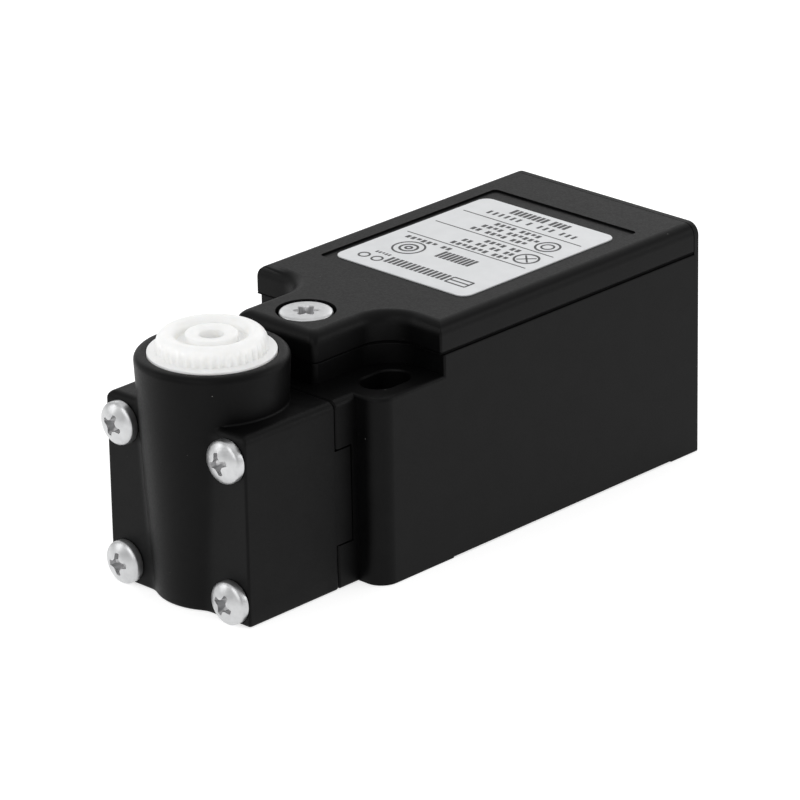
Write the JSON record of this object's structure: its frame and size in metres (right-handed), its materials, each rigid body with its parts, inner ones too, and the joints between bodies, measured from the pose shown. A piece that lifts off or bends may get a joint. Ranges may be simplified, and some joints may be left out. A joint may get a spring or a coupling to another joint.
{
  "type": "limit switch",
  "caption": "Narrow plastic limit switch with a rotary head, a toothed lever spindle, a tilting screwed cover over its contact block and a conduit entry.",
  "frame": {"origin": "centre of the footprint, on the mounting face", "axes": "+Z away from the mounting face, out through the cover; +Y from the rotary head to the conduit entry; +X across the width"},
  "size_m": [0.03, 0.076, 0.0315],
  "materials": {
    "black_plastic": "fine spark-eroded texture",
    "white_nylon": "smooth, slightly translucent",
    "zinc_steel": "bright zinc plating",
    "brass": "bare, machined",
    "copper_alloy": "rolled strip with silver tips",
    "spring_steel": "drawn wire",
    "seal_rubber": "moulded",
    "label_film": "satin silver film with dark print",
    "cream_plastic": "moulded",
    "green_thermoset": "moulded"
  },
  "bodies": {
    "switch_body": {"housing": "black_plastic", "cover_screw_insert": "brass", "head_housing": "black_plastic", "head_screws": "zinc_steel", "head_gasket": "seal_rubber", "thrust_washer": "white_nylon", "plunger_spring": "spring_steel", "plunger_bushing": "cream_plastic", "plunger_seal": "seal_rubber", "contact_base": "green_thermoset", "contact_lid": "cream_plastic", "carriage_spring": "spring_steel", "contact_spring_front": "spring_steel", "contact_spring_rear": "spring_steel", "fixed_contact_13": "brass", "fixed_contact_14": "brass", "fixed_contact_23": "brass", "fixed_contact_24": "brass", "terminal_screws": "zinc_steel", "clamp_plates": "zinc_steel"},
    "cover_body": {"cover": "black_plastic", "cover_gasket": "seal_rubber", "cover_screw": "zinc_steel", "cover_screw_ring": "white_nylon", "label": "label_film"},
    "spindle_body": {"spindle": "white_nylon", "cam": "zinc_steel", "spindle_clip": "spring_steel", "spindle_seal": "seal_rubber"},
    "plunger_body": {"head_plunger": "white_nylon"},
    "carriage_body": {"contact_carriage": "cream_plastic"},
    "bridge_front_body": {"bridge_front": "copper_alloy"},
    "bridge_rear_body": {"bridge_rear": "copper_alloy"}
  },
  "joints": [
    {"name": "spindle_turn", "type": "hinge", "parent": "switch_body", "child": "spindle_body", "pos_m": [0, -0.029, 0], "axis": [0, 0, 1], "range_deg": [0, 75], "stiffness_Nm_per_rad": 0.1, "springref_deg": -20.05},
    {"name": "plunger_slide", "type": "slide", "parent": "switch_body", "child": "plunger_body", "axis": [0, 1, 0], "range_m": [0, 0.00361], "deforming": ["plunger_spring"]},
    {"name": "carriage_slide", "type": "slide", "parent": "switch_body", "child": "carriage_body", "axis": [0, 1, 0], "range_m": [0, 0.00361], "deforming": ["carriage_spring"]},
    {"name": "bridge_front_slide", "type": "slide", "parent": "switch_body", "child": "bridge_front_body", "axis": [0, 1, 0], "range_m": [0, 0.002], "deforming": ["contact_spring_front"]},
    {"name": "bridge_rear_slide", "type": "slide", "parent": "switch_body", "child": "bridge_rear_body", "axis": [0, 1, 0], "range_m": [0, 0.002], "deforming": ["contact_spring_rear"]},
    {"name": "cover_open", "type": "hinge", "parent": "switch_body", "child": "cover_body", "pos_m": [0, 0.037, 0.0296], "axis": [-1, 0, 0], "range_deg": [0, 100]}
  ],
  "couplings": [
    {"joint": "plunger_slide", "follows": "spindle_turn", "m_per_rad": 0.0027502},
    {"joint": "carriage_slide", "follows": "spindle_turn", "m_per_rad": 0.0027502},
    {"joint": "bridge_front_slide", "follows": "spindle_turn", "m_per_rad": 0.0015126},
    {"joint": "bridge_rear_slide", "follows": "spindle_turn", "m_per_rad": 0.0015126}
  ]
}
